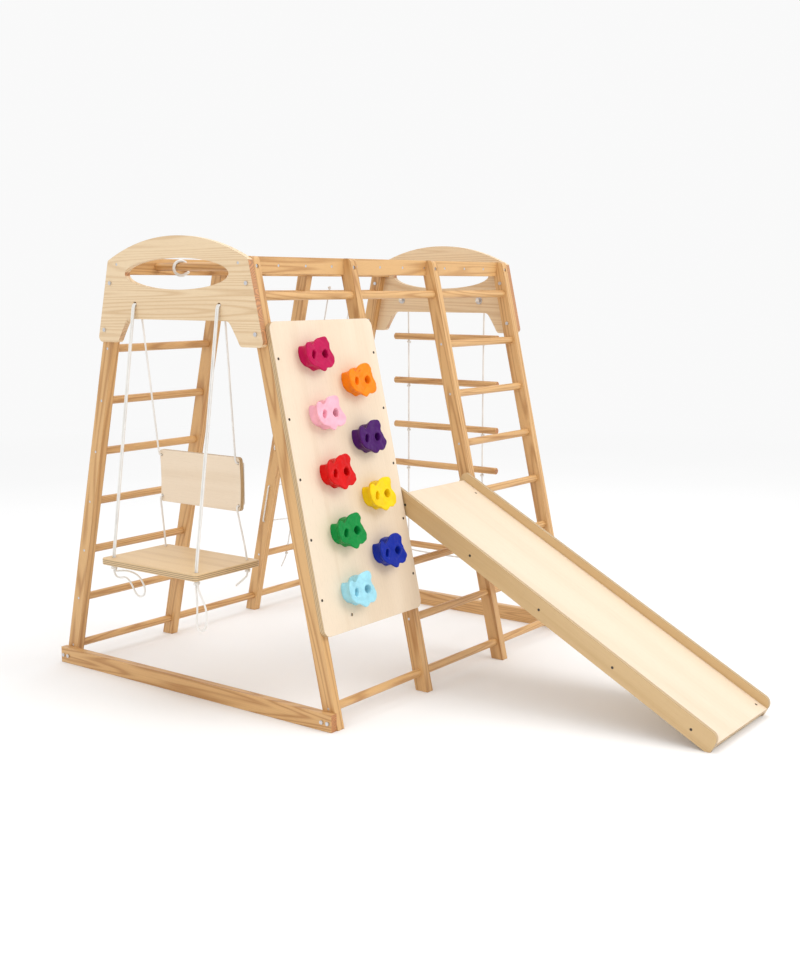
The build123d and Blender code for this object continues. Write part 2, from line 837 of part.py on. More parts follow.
swing_knots = []
panel_knots = []
for knot_side in (FRONT, REAR):
    knot_y = knot_side * rope_hole_half_spacing
    knot_z = seat_bottom - knot_radius - 1.5
    swing_knots.append(knot((seat_front_hole_x, knot_y, knot_z - 1), (1.15, 1.25, 1.0),
                            upright_rope(seat_front_hole_x, knot_y - strand),
                            upright_rope(seat_front_hole_x, knot_y + strand),
                            tilt=knot_tilt))
    swing_knots.append(knot((seat_rear_hole_x, knot_y, knot_z), (1.0, 1.0, 0.95),
                            upright_rope(seat_rear_hole_x, knot_y), tilt=knot_tilt))
    stopper_y = knot_y - strand
    stopper = rod((frame_start, stopper_y, rope_hole_height),
                  (frame_start + rope_end_reach, stopper_y, rope_hole_height), rope_radius)
    panel_knots.append(knot((frame_start + rope_end_reach, stopper_y - 4, rope_hole_height),
                            (0.9, 0.8, 0.8), stopper, tilt=knot_tilt))
keep("swing_knots", *swing_knots)

# ================================================================ rope ladder
ladder_x = frame_end + panel_thickness + ladder_standoff
ladder_top = rope_hole_height - ladder_top_rung_drop
ladder_step = (ladder_top - ladder_bottom_rung_height) / (len(ladder_rung_shifts) - 1)
ladder_rung_heights = [ladder_top - number * ladder_step + shift
                       for number, shift in enumerate(ladder_rung_shifts)]


def ladder_rung(z):
    """A round rung along Y, drilled for the two ropes."""
    half = ladder_rung_length / 2
    bar = rod((ladder_x, -half, z), (ladder_x, half, z), dowel_radius)
    bar = chamfer(bar.edges(), 1.5)
    for side in (FRONT, REAR):
        y = side * ladder_rope_half_spacing
        bar = bar - rod((ladder_x, y, z - 30), (ladder_x, y, z + 30), rope_radius + 0.6)
    return bar


def ladder_rope_route():
    """From a knot inside the panel, down through the rungs, under the last one and back up."""
    hole = rope_hole_half_spacing
    y = ladder_rope_half_spacing
    z = rope_hole_height
    top = ladder_rung_heights[0] + dowel_radius
    low = ladder_rung_heights[-1] - dowel_radius
    start_x = frame_end - rope_end_reach
    half = [(start_x, hole, z), (ladder_x, hole, z), (ladder_x, y, top + 12),
            (ladder_x, y, low - 9), (ladder_x, y - 22, low - 14), (ladder_x, y - 80, low - 15.5)]
    other = [(x, -across, height) for x, across, height in reversed(half)]
    middle = [(ladder_x, 34, low - 16.5), (ladder_x, -34, low - 16)]
    return half + middle + other


ladder_route = ladder_rope_route()
ladder_rope = rope("ladder_rope", ladder_route, rope_diameter,
                   {1: rope_diameter * 1.5, len(ladder_route) - 2: rope_diameter * 1.5})
keep("ladder_rope", ladder_rope)
keep("ladder_rungs", *[ladder_rung(z) for z in ladder_rung_heights])
ladder_knots = []
ladder_washers = []
for knot_side in (FRONT, REAR):
    for rung_z in ladder_rung_heights:
        ladder_knots.append(knot((ladder_x, knot_side * ladder_rope_half_spacing,
                                  rung_z - dowel_radius - knot_radius * 0.8),
                                 (0.8, 0.8, 0.72), ladder_rope))
    washer_y = knot_side * rope_hole_half_spacing
    washer_x = frame_end - ladder_washer_thickness
    washer = rod((washer_x, washer_y, rope_hole_height),
                 (frame_end, washer_y, rope_hole_height), ladder_washer_radius)
    washer = washer - rod((washer_x - 1, washer_y, rope_hole_height),
                          (frame_end + 1, washer_y, rope_hole_height), rope_radius + 1)
    ladder_washers.append(washer)
    stopper = rod((frame_end - rope_end_reach, washer_y, rope_hole_height),
                  (frame_end, washer_y, rope_hole_height), rope_radius)
    panel_knots.append(knot((washer_x - knot_radius * 0.8, washer_y, rope_hole_height),
                            (0.78, 0.9, 0.9), stopper, tilt=knot_tilt))
keep("ladder_knots", *ladder_knots)
keep("ladder_washers", *ladder_washers)
keep("panel_knots", *panel_knots)

# ================================================================ climbing net
net_near = post_x(2)
net_far = post_x(3) + post_width
net_clear_start = net_near + post_width
net_clear_end = post_x(3)
net_clear = net_clear_end - net_clear_start
net_columns_x = [net_clear_start + net_clear * (number + 1) / (net_column_count + 1)
                 for number in range(net_column_count)]
net_radius = net_rope_diameter / 2
net_hole_radius = net_radius + 0.8
net_offset = net_rope_diameter + 0.8
net_first_height = level_z(2) + net_bottom_gap
net_pitch = (level_z(level_count) - net_top_gap - net_first_height) / (net_row_count - 1)


def net_row_z(row):
    """Height of a net row where it passes through the posts."""
    return net_first_height + row * net_pitch


def net_row_points(row):
    """One row: outside the near post, through it, sagging across, and out of the far post."""
    z = net_row_z(row)
    y = middle_y(REAR, z)
    outside = net_rope_diameter
    if row in (0, net_row_count - 1):
        far = (net_far + knot_radius + 2, y, z)
    else:
        far = (net_far + outside, y, z)
    sagging = [(x, y - net_offset, z - net_sag) for x in net_columns_x]
    return [(net_near - outside, y, z), (net_clear_start + 6, y, z), *sagging,
            (net_clear_end - 6, y, z + 0.2), far]


def net_route():
    """One rope laced through both posts, row after row, with a stitch outside each post."""
    route = []
    for row in range(net_row_count):
        points = net_row_points(row)
        if row % 2 == 0:
            points.reverse()
        route.extend(points)
    return route


def net_edges():
    """A tight bend wherever the net rope turns outside a post."""
    row_points = net_column_count + 4
    tight = {}
    for row in range(net_row_count):
        tight[row * row_points] = net_rope_diameter
        tight[(row + 1) * row_points - 1] = net_rope_diameter
    return tight


def net_column_route(x):
    """A rope along the lean of the posts, with a loose tail under the second rung."""
    top_z = level_z(level_count)
    hang_z = level_z(2)
    above = top_z + dowel_radius + 14
    below = hang_z - dowel_radius - 6
    hang_y = middle_y(REAR, below)
    return [(x, middle_y(REAR, above), above), (x, hang_y, below),
            (x - 2, hang_y + 3, below - 18), (x - 12, hang_y + 5, below - 35),
            (x - 24, hang_y + 7, below - 54)]


net_rope = rope("net_rope", net_route(), net_rope_diameter, net_edges())
keep("net_rope", net_rope)
net_knots = []
for column_name, column_x in zip(("net_column_near", "net_column_far"), net_columns_x):
    column = rope(column_name, net_column_route(column_x), net_rope_diameter)
    keep(column_name, column)
    for end_z in (level_z(level_count) + dowel_radius + 8, level_z(2) - dowel_radius - 9):
        net_knots.append(knot((column_x, middle_y(REAR, end_z), end_z), (0.8, 0.8, 0.75),
                              column))
    for row_number in range(net_row_count):
        row_z = net_row_z(row_number) - net_sag
        cross_y = middle_y(REAR, row_z) - net_offset / 2
        net_knots.append(knot((column_x, cross_y, row_z), (0.75, 0.95, 0.75), column,
                              net_rope))
for row_number in (0, net_row_count - 1):
    row_z = net_row_z(row_number)
    net_knots.append(knot((net_far + 8, middle_y(REAR, row_z), row_z), (0.7, 0.8, 0.8),
                          net_rope))
keep("net_knots", *net_knots)


def add_net_holes():
    """Holes for the net rope through the two rear posts and two rungs."""
    for index in (2, 3):
        for row in range(net_row_count):
            z = net_row_z(row)
            y = middle_y(REAR, z)
            x = post_x(index)
            post_cuts[REAR, index].append(
                rod((x - 1, y, z), (x + post_width + 1, y, z), net_hole_radius))
    for level in (2, level_count):
        low = level_z(level) - dowel_diameter
        high = level_z(level) + dowel_diameter
        for x in net_columns_x:
            rung_cuts[REAR, 2, level].append(
                rod((x, middle_y(REAR, low), low), (x, middle_y(REAR, high), high),
                    net_hole_radius))


add_net_holes()

# ================================================================ hook on the first monkey bar


def bar_hook():
    """An open ring hung over the first bar, turned a little, with one end drawn out."""
    inner_radius = dowel_radius / cos(radians(hook_turn)) + hook_ring_clearance
    hook_ring_radius = inner_radius + hook_wire_radius
    hang = inner_radius - dowel_radius - hook_gap
    center = Vector(bar_x(0), hook_place, rail_middle_z - hang)
    plane = Plane(origin=center, x_dir=(cos(radians(hook_turn)), -sin(radians(hook_turn)), 0),
                  z_dir=(sin(radians(hook_turn)), cos(radians(hook_turn)), 0))
    first = plane * CenterArc((0, 0), hook_ring_radius, 60, 250)
    flat_start = first @ 0
    tangent = (first % 0) * -1
    lead = Line(flat_start + tangent * 13, flat_start)
    path = Curve() + [lead, first]
    section = Plane(origin=lead @ 0, z_dir=lead % 0) * Circle(hook_wire_radius)
    ring = sweep(section, path=path)
    ends = [lead @ 0, first @ 1]
    for end in ends:
        ring = ring + Pos(*end) * Sphere(hook_wire_radius)
    return ring


keep("bar_hook", bar_hook())

# ================================================================ posts, rails and rungs


def post(side, index):
    """A leaning post with a flat foot, a rounded top and a notch for the top rail."""
    foot = outer_y(side, 0)
    top = outer_y(side, frame_height)
    inner = -side * post_depth
    outline = Polyline((foot, 0), (foot + inner, 0), (top + inner, frame_height),
                       (top, frame_height), close=True)
    solid = side_prism(outline, post_x(index), post_width)
    corner = solid.edges().filter_by(Axis.X).group_by(Axis.Z)[-1]
    corner = corner.sort_by(Axis.Y)[-1 if side == REAR else 0]
    solid = fillet(corner, post_top_round)
    notch = block(post_x(index) - 1, post_x(index) + post_width + 1, side * rail_front_y,
                  side * (rail_back_y - 40), rail_bottom, frame_height + 1)
    return cut_all(solid - notch, post_cuts[side, index])


def rail(side):
    """A top rail along X, let into the notches of the four posts."""
    bar = block(frame_start, frame_end, side * rail_front_y, side * rail_back_y, rail_bottom,
                frame_height)
    bar = chamfer(bar.edges().filter_by(Axis.X), 1)
    return cut_all(bar, rail_cuts[side])


def bay_rungs(side, bay):
    """All the rungs of one bay."""
    rungs = []
    for level in bay_levels[side, bay]:
        z = level_z(level)
        y = middle_y(side, z)
        bar = rod((post_x(bay) + post_width, y, z), (post_x(bay + 1), y, z), dowel_radius)
        rungs.append(cut_all(bar, rung_cuts[side, bay, level]))
    return rungs


side_names = {FRONT: "front", REAR: "rear"}
for post_side in (FRONT, REAR):
    side_name = side_names[post_side]
    for post_index in range(post_count):
        keep(f"{side_name}_post_{post_index + 1}", post(post_side, post_index))
    keep(f"{side_name}_top_rail", rail(post_side))
    for bay_index in range(post_count - 1):
        keep(f"{side_name}_rungs_bay_{bay_index + 1}", *bay_rungs(post_side, bay_index))

keep("rail_bolts", *rail_bolts)
keep("panel_bolts", *panel_bolts)
keep("base_bar_bolts", *base_bar_bolts)
keep("wood_screws", *wood_screws)

# ================================================================ write the parts
os.makedirs("parts", exist_ok=True)
for part_name, solids in PARTS.items():
    shape = solids[0] if len(solids) == 1 else Compound(children=solids)
    export_step(shape, f"parts/{part_name}.step")
print(len(PARTS), "parts written")
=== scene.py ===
import math

import bmesh
import bpy
from mathutils import Euler, Matrix, Vector, noise


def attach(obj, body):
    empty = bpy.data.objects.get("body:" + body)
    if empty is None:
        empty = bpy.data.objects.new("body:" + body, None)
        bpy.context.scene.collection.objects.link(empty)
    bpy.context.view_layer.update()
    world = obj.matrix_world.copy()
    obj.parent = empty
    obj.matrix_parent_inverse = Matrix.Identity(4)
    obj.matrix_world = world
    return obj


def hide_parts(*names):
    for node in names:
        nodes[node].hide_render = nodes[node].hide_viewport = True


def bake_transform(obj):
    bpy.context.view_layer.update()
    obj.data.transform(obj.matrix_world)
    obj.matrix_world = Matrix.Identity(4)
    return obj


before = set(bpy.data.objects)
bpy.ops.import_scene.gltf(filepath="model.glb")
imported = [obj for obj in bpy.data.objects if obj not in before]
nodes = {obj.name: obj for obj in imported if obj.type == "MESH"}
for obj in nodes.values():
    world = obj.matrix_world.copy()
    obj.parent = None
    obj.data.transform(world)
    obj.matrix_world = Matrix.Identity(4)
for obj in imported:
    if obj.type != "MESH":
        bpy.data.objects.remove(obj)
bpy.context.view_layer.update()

# Places shared with the frame, in metres.
LEAN_RUN = 0.298
FRAME_HEIGHT = 1.320
LEAN = math.atan2(LEAN_RUN, FRAME_HEIGHT)
LEAN_SLOPE = LEAN_RUN / FRAME_HEIGHT
SLIDE_ANGLE = math.radians(28.3)
FOOT_HALF = 0.588
POST_WIDTH = 0.028
POST_PITCH = 0.433
POST_START = 0.0125
ROPE_D = 0.006
NET_D = 0.0055
SEED_STEPS = (1.37, 0.71, 0.37)


# ---------------------------------------------------------------- material helpers
class Graph:
    """A small helper for building node trees."""

    def __init__(self, name):
        self.material = bpy.data.materials.new(name)
        self.material.use_nodes = True
        self.tree = self.material.node_tree
        self.shader = self.tree.nodes["Principled BSDF"]

    def node(self, kind, **settings):
        made = self.tree.nodes.new(kind)
        for key, value in settings.items():
            setattr(made, key, value)
        return made

    def link(self, source, target):
        self.tree.links.new(source, target)

    def value(self, source, target):
        """Links a socket, or sets a plain number."""
        if isinstance(source, (int, float)):
            target.default_value = source
        else:
            self.link(source, target)

    def math(self, operation, a, b=0.0):
        made = self.node("ShaderNodeMath", operation=operation)
        self.value(a, made.inputs[0])
        self.value(b, made.inputs[1])
        return made.outputs[0]

    def noise(self, vector, scale, detail=2.0, roughness=0.5):
        made = self.node("ShaderNodeTexNoise")
        self.link(vector, made.inputs["Vector"])
        made.inputs["Scale"].default_value = scale
        made.inputs["Detail"].default_value = detail
        made.inputs["Roughness"].default_value = roughness
        return made.outputs["Fac"]

    def span(self, source, low, high, to_low, to_high):
        made = self.node("ShaderNodeMapRange")
        self.link(source, made.inputs["Value"])
        for key, number in (("From Min", low), ("From Max", high), ("To Min", to_low), ("To Max", to_high)):
            made.inputs[key].default_value = number
        return made.outputs["Result"]

    def mix(self, share, first, second):
        made = self.node("ShaderNodeMix", data_type="RGBA")
        self.value(share, made.inputs["Factor"])
        for colour, socket in ((first, made.inputs[6]), (second, made.inputs[7])):
            if isinstance(colour, tuple):
                socket.default_value = (*colour, 1.0)
            else:
                self.link(colour, socket)
        return made.outputs[2]

    def mapped(self, turn=(0, 0, 0), stretch=(1, 1, 1), shift=(0, 0, 0)):
        """Object coordinates, turned first and then stretched and shifted."""
        place = self.node("ShaderNodeTexCoord").outputs["Object"]
        for rotation, scale, location in ((turn, (1, 1, 1), (0, 0, 0)), ((0, 0, 0), stretch, shift)):
            made = self.node("ShaderNodeMapping")
            self.link(place, made.inputs["Vector"])
            made.inputs["Rotation"].default_value = rotation
            made.inputs["Scale"].default_value = scale
            made.inputs["Location"].default_value = location
            place = made.outputs["Vector"]
        return place

    def edge_mask(self, radius):
        """White along rounded edges, and the rounded normal itself."""
        bevel = self.node("ShaderNodeBevel", samples=4)
        bevel.inputs["Radius"].default_value = radius
        normal = self.node("ShaderNodeNewGeometry").outputs["Normal"]
        dot = self.node("ShaderNodeVectorMath", operation="DOT_PRODUCT")
        self.link(bevel.outputs["Normal"], dot.inputs[0])
        self.link(normal, dot.inputs[1])
        return self.span(dot.outputs["Value"], 0.75, 0.995, 1.0, 0.0), bevel.outputs["Normal"]

    def bump(self, height, strength, distance, normal=None):
        made = self.node("ShaderNodeBump")
        made.inputs["Strength"].default_value = strength
        made.inputs["Distance"].default_value = distance
        self.link(height, made.inputs["Height"])
        if normal is not None:
            self.link(normal, made.inputs["Normal"])
        self.link(made.outputs["Normal"], self.shader.inputs["Normal"])


ALONG_X = (0, -math.pi / 2, 0)
ALONG_Y = (math.pi / 2, 0, 0)
FRONT_LEAN = (LEAN, 0, 0)
REAR_LEAN = (-LEAN, 0, 0)
DOWN_SLIDE = (math.pi / 2 - SLIDE_ANGLE, 0, 0)


def wood(name, light, dark, grain, seed, rings=80.0, ring_scale=14.0, contrast=0.6, edge=0.0016, ply=None):
    """Varnished wood with growth rings and fibres along the grain. ply gives the (direction,
    face colour, layer colours) of a plywood board, whose edges show their layers."""
    g = Graph(name)
    shift = tuple(seed * step for step in SEED_STEPS)
    place = g.mapped(grain, (1, 1, 0.055), shift)
    broad = g.noise(place, ring_scale, 1.5)
    wave = g.math("SINE", g.math("MULTIPLY", broad, rings))
    ring = g.math("POWER", g.span(wave, -1, 1, 0, 1), 2.4)
    fibre = g.noise(g.mapped(grain, (1, 1, 0.012), shift), 520, 3, 0.65)
    pores = g.noise(g.mapped(grain, (1, 1, 0.03), shift), 1500, 1)
    tone = g.noise(g.mapped(grain, (1, 1, 0.2), shift), 5, 2)
    share = g.math("ADD", g.math("MULTIPLY", ring, contrast), g.span(fibre, 0.3, 0.7, -0.16, 0.2))
    share = g.math("ADD", share, g.span(tone, 0.3, 0.7, -0.18, 0.18))
    colour = g.mix(g.span(share, 0.0, 1.0, 0.0, 1.0), light, dark)
    pore_share = g.span(pores, 0.62, 0.75, 0.0, 0.25)
    colour = g.mix(pore_share, colour, tuple(0.55 * c for c in dark))
    mask, rounded = g.edge_mask(edge)
    worn = tuple(min(1.0, 1.12 * c + 0.03) for c in light)
    colour = g.mix(g.math("MULTIPLY", mask, 0.35), colour, worn)
    if ply:
        colour = ply_edges(g, colour, *ply)
    else:
        colour = end_grain(g, colour, grain, broad)
    g.link(colour, g.shader.inputs["Base Color"])
    g.link(g.span(fibre, 0.3, 0.7, 0.38, 0.56), g.shader.inputs["Roughness"])
    g.shader.inputs["Coat Weight"].default_value = 0.18
    g.shader.inputs["Coat Roughness"].default_value = 0.28
    height = g.math("ADD", g.math("MULTIPLY", ring, -0.5), fibre)
    g.bump(height, 0.22, 0.0005, rounded)
    return g.material


def end_grain(g, side_colour, grain, broad):
    """Reddish, closely ringed wood where the surface is cut across the grain."""
    along = Euler(grain).to_matrix().inverted() @ Vector((0, 0, 1))
    facing = g.node("ShaderNodeVectorMath", operation="DOT_PRODUCT")
    g.link(g.node("ShaderNodeTexCoord").outputs["Normal"], facing.inputs[0])
    facing.inputs[1].default_value = along
    on_end = g.span(g.math("ABSOLUTE", facing.outputs["Value"]), 0.8, 0.93, 0.0, 0.85)
    rings = g.span(g.math("SINE", g.math("MULTIPLY", broad, 260.0)), -1, 1, 0.0, 1.0)
    cut = g.mix(rings, tuple(1.9 * c for c in END_GRAIN), END_GRAIN)
    return g.mix(on_end, side_colour, cut)


def ply_edges(g, face_colour, direction, pale, dark):
    """Shows glued layers where the surface doesn't face along the board's thickness."""
    coordinates = g.node("ShaderNodeTexCoord")
    across = g.node("ShaderNodeVectorMath", operation="DOT_PRODUCT")
    g.link(coordinates.outputs["Object"], across.inputs[0])
    across.inputs[1].default_value = direction
    facing = g.node("ShaderNodeVectorMath", operation="DOT_PRODUCT")
    g.link(coordinates.outputs["Normal"], facing.inputs[0])
    facing.inputs[1].default_value = direction
    on_edge = g.span(g.math("ABSOLUTE", facing.outputs["Value"]), 0.6, 0.8, 1.0, 0.0)
    layer = g.math("SINE", g.math("MULTIPLY", across.outputs["Value"], 2 * math.pi / PLY_LAYER))
    layers = g.mix(g.span(layer, 0.45, 0.9, 0.0, 1.0), pale, dark)
    return g.mix(on_edge, face_colour, layers)


def plastic(name, colour, roughness=0.42):
    """Moulded plastic with a fine grain, slight mottling and paler, rubbed edges."""
    g = Graph(name)
    place = g.mapped()
    mottle = g.noise(place, 35, 3)
    speck = g.noise(place, 900, 2)
    dark = tuple(0.72 * c for c in colour)
    shade = g.mix(g.span(mottle, 0.35, 0.7, 0.0, 0.55), colour, dark)
    mask, rounded = g.edge_mask(0.002)
    pale = tuple(min(1.0, c * 1.1 + 0.06) for c in colour)
    g.link(g.mix(g.math("MULTIPLY", mask, 0.3), shade, pale), g.shader.inputs["Base Color"])
    g.link(g.span(speck, 0.3, 0.7, roughness - 0.08, roughness + 0.1), g.shader.inputs["Roughness"])
    g.shader.inputs["Specular IOR Level"].default_value = 0.2
    g.bump(speck, 0.25, 0.0004, rounded)
    return g.material


def metal(name, colour=(0.68, 0.68, 0.70)):
    """Zinc-plated steel with fine scratches and dull patches."""
    g = Graph(name)
    place = g.mapped()
    scratch = g.noise(g.mapped(stretch=(1, 1, 0.1)), 1800, 2)
    patch = g.noise(place, 260, 3)
    g.link(g.mix(g.span(patch, 0.35, 0.7, 0.0, 0.6), colour, tuple(0.7 * c for c in colour)),
           g.shader.inputs["Base Color"])
    g.shader.inputs["Metallic"].default_value = 1.0
    g.link(g.span(patch, 0.3, 0.7, 0.24, 0.45), g.shader.inputs["Roughness"])
    g.bump(scratch, 0.2, 0.0001)
    return g.material


def cordage(name, colour=(0.84, 0.82, 0.78)):
    """Off-white twisted cotton with fine yarns and patches of grey dust."""
    g = Graph(name)
    place = g.mapped()
    yarn = g.noise(place, 1400, 3, 0.7)
    soil = g.noise(place, 22, 3)
    dusty = tuple(0.78 * c for c in colour)
    g.link(g.mix(g.span(soil, 0.35, 0.7, 0.0, 0.5), colour, dusty), g.shader.inputs["Base Color"])
    g.shader.inputs["Roughness"].default_value = 0.85
    g.shader.inputs["Sheen Weight"].default_value = 0.25
    g.bump(yarn, 0.5, 0.0006)
    return g.material


PINE_LIGHT = (0.67, 0.40, 0.165)
PINE_DARK = (0.37, 0.155, 0.035)
PANEL_LIGHT = (0.78, 0.60, 0.385)
PANEL_DARK = (0.56, 0.35, 0.165)
# Slide walls: a darker tan than the deck, partly the walls' own wood and partly painted shade where less
# light falls on their sides.
WALL_SHADED_PALE = (0.62, 0.43, 0.215)
WALL_SHADED_DEEP = (0.50, 0.31, 0.13)
BIRCH_LIGHT = (0.80, 0.66, 0.50)
BIRCH_DARK = (0.70, 0.545, 0.38)
SEAT_LIGHT = (0.74, 0.53, 0.29)
SEAT_DARK = (0.56, 0.345, 0.15)
END_GRAIN = (0.30, 0.115, 0.035)
BLACKENED = (0.09, 0.075, 0.065)
HOOK_WHITE = (0.82, 0.82, 0.80)
BOARD_OUT = (0, -math.cos(LEAN), math.sin(LEAN))
SLIDE_OUT = (0, -math.sin(SLIDE_ANGLE), math.cos(SLIDE_ANGLE))
PLY_LAYERS = ((0.62, 0.44, 0.235), (0.17, 0.09, 0.04))
PLY_LAYER = 0.0053


def dress(name, material):
    """Gives a frame piece its material."""
    piece = nodes[name]
    piece.data.materials.clear()
    piece.data.materials.append(material)


def dress_frame():
    """Pine for the frame, each piece cut from its own length of wood."""
    seed = 1
    for side, lean in (("front", FRONT_LEAN), ("rear", REAR_LEAN)):
        for number in range(1, 5):
            dress(f"{side}_post_{number}",
                  wood(f"pine_{side}_post_{number}", PINE_LIGHT, PINE_DARK, lean, seed))
            seed += 1
        dress(f"{side}_top_rail", wood(f"pine_{side}_rail", PINE_LIGHT, PINE_DARK, ALONG_X, seed))
        seed += 1
        for bay in range(1, 4):
            dress(f"{side}_rungs_bay_{bay}",
                  wood(f"pine_{side}_rungs_{bay}", PINE_LIGHT, PINE_DARK, ALONG_X, seed, rings=110.0))
            seed += 1
    for name in ("near_base_bar", "far_base_bar", "monkey_bars", "ladder_rungs"):
        dress(name, wood(f"pine_{name}", PINE_LIGHT, PINE_DARK, ALONG_Y, seed, rings=100.0))
        seed += 1
    for name in ("near_end_panel", "far_end_panel"):
        dress(name, wood(f"pine_{name}", PANEL_LIGHT, PANEL_DARK, ALONG_Y, seed, rings=150.0,
                         ring_scale=9.0, contrast=0.45))
        seed += 1
    for name in ("slide_upper_batten", "slide_lower_batten"):
        dress(name, wood(f"pine_{name}", PANEL_LIGHT, PANEL_DARK, ALONG_X, seed))
        seed += 1


def dress_boards():
    """Birch plywood for the board, slide and swing."""
    dress("climbing_board", wood("ply_board", BIRCH_LIGHT, BIRCH_DARK, FRONT_LEAN, 40, rings=16.0,
                                 ring_scale=7.0, contrast=0.35, ply=(BOARD_OUT, *PLY_LAYERS)))
    dress("slide_deck", wood("ply_deck", BIRCH_LIGHT, BIRCH_DARK, DOWN_SLIDE, 41, rings=14.0,
                             ring_scale=6.0, contrast=0.3, ply=(SLIDE_OUT, *PLY_LAYERS)))
    # The slide walls get a darker tan: partly their own wood, partly painted shade.
    for name, seed in (("slide_near_wall", 42), ("slide_far_wall", 43)):
        dress(name, wood(f"ply_{name}", WALL_SHADED_PALE, WALL_SHADED_DEEP, DOWN_SLIDE, seed, rings=26.0,
                         ring_scale=9.0, contrast=0.4, ply=((1, 0, 0), *PLY_LAYERS)))
    dress("swing_seat", wood("ply_seat", SEAT_LIGHT, SEAT_DARK, ALONG_Y, 44, rings=30.0,
                             ring_scale=9.0, contrast=0.4, ply=((0, 0, 1), *PLY_LAYERS)))
    dress("swing_backrest", wood("ply_backrest", BIRCH_LIGHT, BIRCH_DARK, ALONG_Y, 45, rings=30.0,
                                 ring_scale=9.0, contrast=0.4, ply=((1, 0, 0), *PLY_LAYERS)))


def dress_fittings():
    """Zinc for the bolts and frame screws, black for the board's and slide's, and a white hook."""
    zinc = metal("zinc_plated_steel")
    blackened = metal("blackened_steel", BLACKENED)
    for name in ("wood_screws", "rail_bolts", "panel_bolts", "base_bar_bolts", "hold_bolts",
                 "hold_tee_nuts", "ladder_washers"):
        dress(name, zinc)
    for name in ("board_screws", "slide_screws"):
        dress(name, blackened)
    dress("bar_hook", plastic("white_hook", HOOK_WHITE, 0.3))


dress_frame()
dress_boards()
dress_fittings()

# ---------------------------------------------------------------- holds
HOLD_COLOURS = {
    "cyan": (0.36, 0.72, 0.84),
    "blue": (0.003, 0.022, 0.33),
    "green": (0.0, 0.25, 0.045),
    "yellow": (0.93, 0.62, 0.002),
    "red": (0.66, 0.0, 0.0),
    "purple": (0.062, 0.003, 0.12),
    "pink": (0.93, 0.46, 0.56),
    "orange": (0.95, 0.24, 0.002),
    "magenta": (0.50, 0.0, 0.075),
}
HOLD_SHAPE = ((1.0, -0.31), (0.89, -0.66), (0.6, -0.84), (0.33, -0.82), (0.12, -1.0), (-0.1, -0.95),
              (-0.34, -0.76), (-0.66, -0.62), (-0.92, -0.3), (-1.0, 0.1), (-0.98, 0.42), (-0.9, 0.65),
              (-0.74, 0.72), (-0.54, 0.56), (-0.34, 0.64), (-0.08, 0.92), (0.26, 1.0), (0.6, 0.97),
              (0.77, 0.7), (0.72, 0.4), (0.84, 0.05))
HOLD_SIZE = (0.118, 0.100, 0.042)
HOLD_TURNS = 216
HOLD_RINGS = 84
FACE_RINGS = 0.66
RIM_RINGS = 0.14
FACE_SHARE = 0.93
RIM_DROP = 0.1
FOOT_TAPER = 0.14
WAIST = 0.09
POCKET = Vector((0.0185, -0.001))
POCKET_DEPTH = 0.023
SLOT = Vector((-0.0315, -0.001))
SLOT_DEPTH = 0.015
SLOT_HALF_STRAIGHT = 0.005
SLOT_TURN = math.radians(65)
BROAD_LUMPS = 30
FINE_LUMPS = 75
HOLD_CENTRE = Vector((0.0065, 0.001))
BOARD_THICKNESS = 0.016
BOARD_CENTRE_X = POST_START + (POST_PITCH + POST_WIDTH) / 2
BOARD_FOOT = 0.264
HOLD_FIRST = BOARD_FOOT + 0.106
HOLD_PITCH = 0.086
HOLD_COLUMN = 0.085


def outline_point(share):
    """A point on the smooth closed outline of a hold, share from 0 to 1."""
    count = len(HOLD_SHAPE)
    place = share * count
    index = int(place) % count
    t = place - int(place)
    before, start, end, after = (Vector(HOLD_SHAPE[(index + step) % count]) for step in (-1, 0, 1, 2))
    curve = 2 * start + (end - before) * t
    curve += (2 * before - 5 * start + 4 * end - after) * t * t
    curve += (3 * start - before - 3 * end + after) * t * t * t
    return curve / 2


def smooth_step(low, high, value):
    """From 0 at low to 1 at high, level at both ends."""
    t = min(1.0, max(0.0, (value - low) / (high - low)))
    return t * t * (3 - 2 * t)


def hold_profile(ring):
    """(share of the outline, share of the height) from the middle of the face to the foot."""
    if ring < FACE_RINGS:
        return FACE_SHARE * ring / FACE_RINGS, 1.0
    rim_end = FACE_RINGS + RIM_RINGS
    if ring < rim_end:
        turn = (ring - FACE_RINGS) / RIM_RINGS * math.pi / 2
        out = FACE_SHARE + (1.0 - FACE_SHARE) * math.sin(turn)
        return out, 1.0 - RIM_DROP * (1 - math.cos(turn))
    low = (ring - rim_end) / (1.0 - rim_end)
    waist = FOOT_TAPER * low + WAIST * math.sin(low * math.pi)
    return 1.0 - waist, (1.0 - RIM_DROP) * (1 - low)


def pocket_depth(x, y):
    """How deep the round pocket and the slanted slot go at a place on the face."""
    round_gap = (Vector((x, y)) - POCKET).length
    place = Vector((x, y)) - SLOT
    along = place.x * math.cos(SLOT_TURN) + place.y * math.sin(SLOT_TURN)
    across = -place.x * math.sin(SLOT_TURN) + place.y * math.cos(SLOT_TURN)
    slot_gap = math.hypot(max(0.0, abs(along) - SLOT_HALF_STRAIGHT), across)
    depth = POCKET_DEPTH * (1 - smooth_step(0.0098, 0.0128, round_gap))
    depth += SLOT_DEPTH * (1 - smooth_step(0.0056, 0.0084, slot_gap))
    rim = 0.0016 * math.exp(-((round_gap - 0.0155) / 0.0035) ** 2)
    rim += 0.0014 * math.exp(-((slot_gap - 0.0110) / 0.003) ** 2)
    return depth - rim


